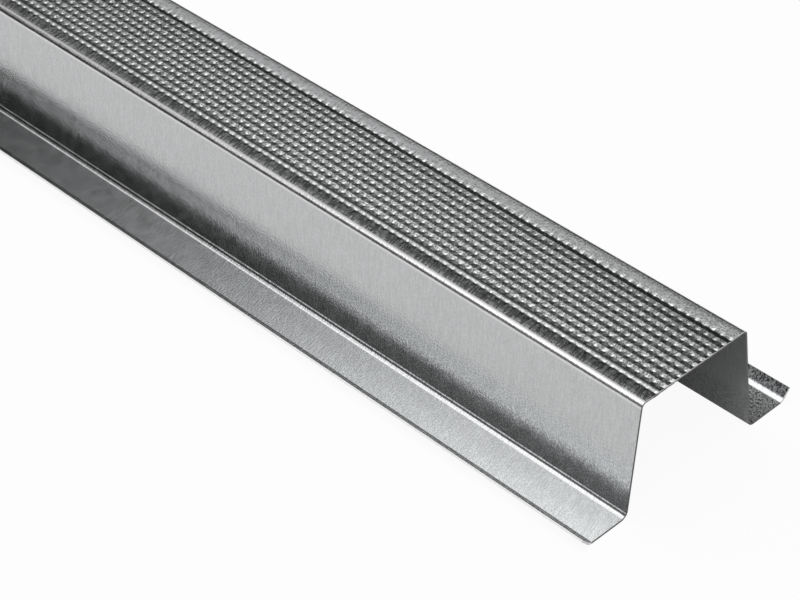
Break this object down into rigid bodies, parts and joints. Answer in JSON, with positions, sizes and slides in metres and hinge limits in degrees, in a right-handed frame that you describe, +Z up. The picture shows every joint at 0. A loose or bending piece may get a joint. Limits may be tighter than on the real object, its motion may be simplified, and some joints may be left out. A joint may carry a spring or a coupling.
{
  "type": "hat channel",
  "caption": "Roll-formed galvanised steel hat channel with a knurled crown, splayed webs, side flanges and turned-up lips.",
  "frame": {"origin": "middle of the channel's length and width, on the plane that the flanges rest on", "axes": "+X along the channel, +Y across it, +Z up through the crown"},
  "size_m": [3, 0.0796, 0.035],
  "materials": {
    "galvanised_steel": "bright galvanised, with a fine spangle and light roll marks"
  },
  "bodies": {
    "root": {"hat_channel": "galvanised_steel"}
  },
  "joints": []
}
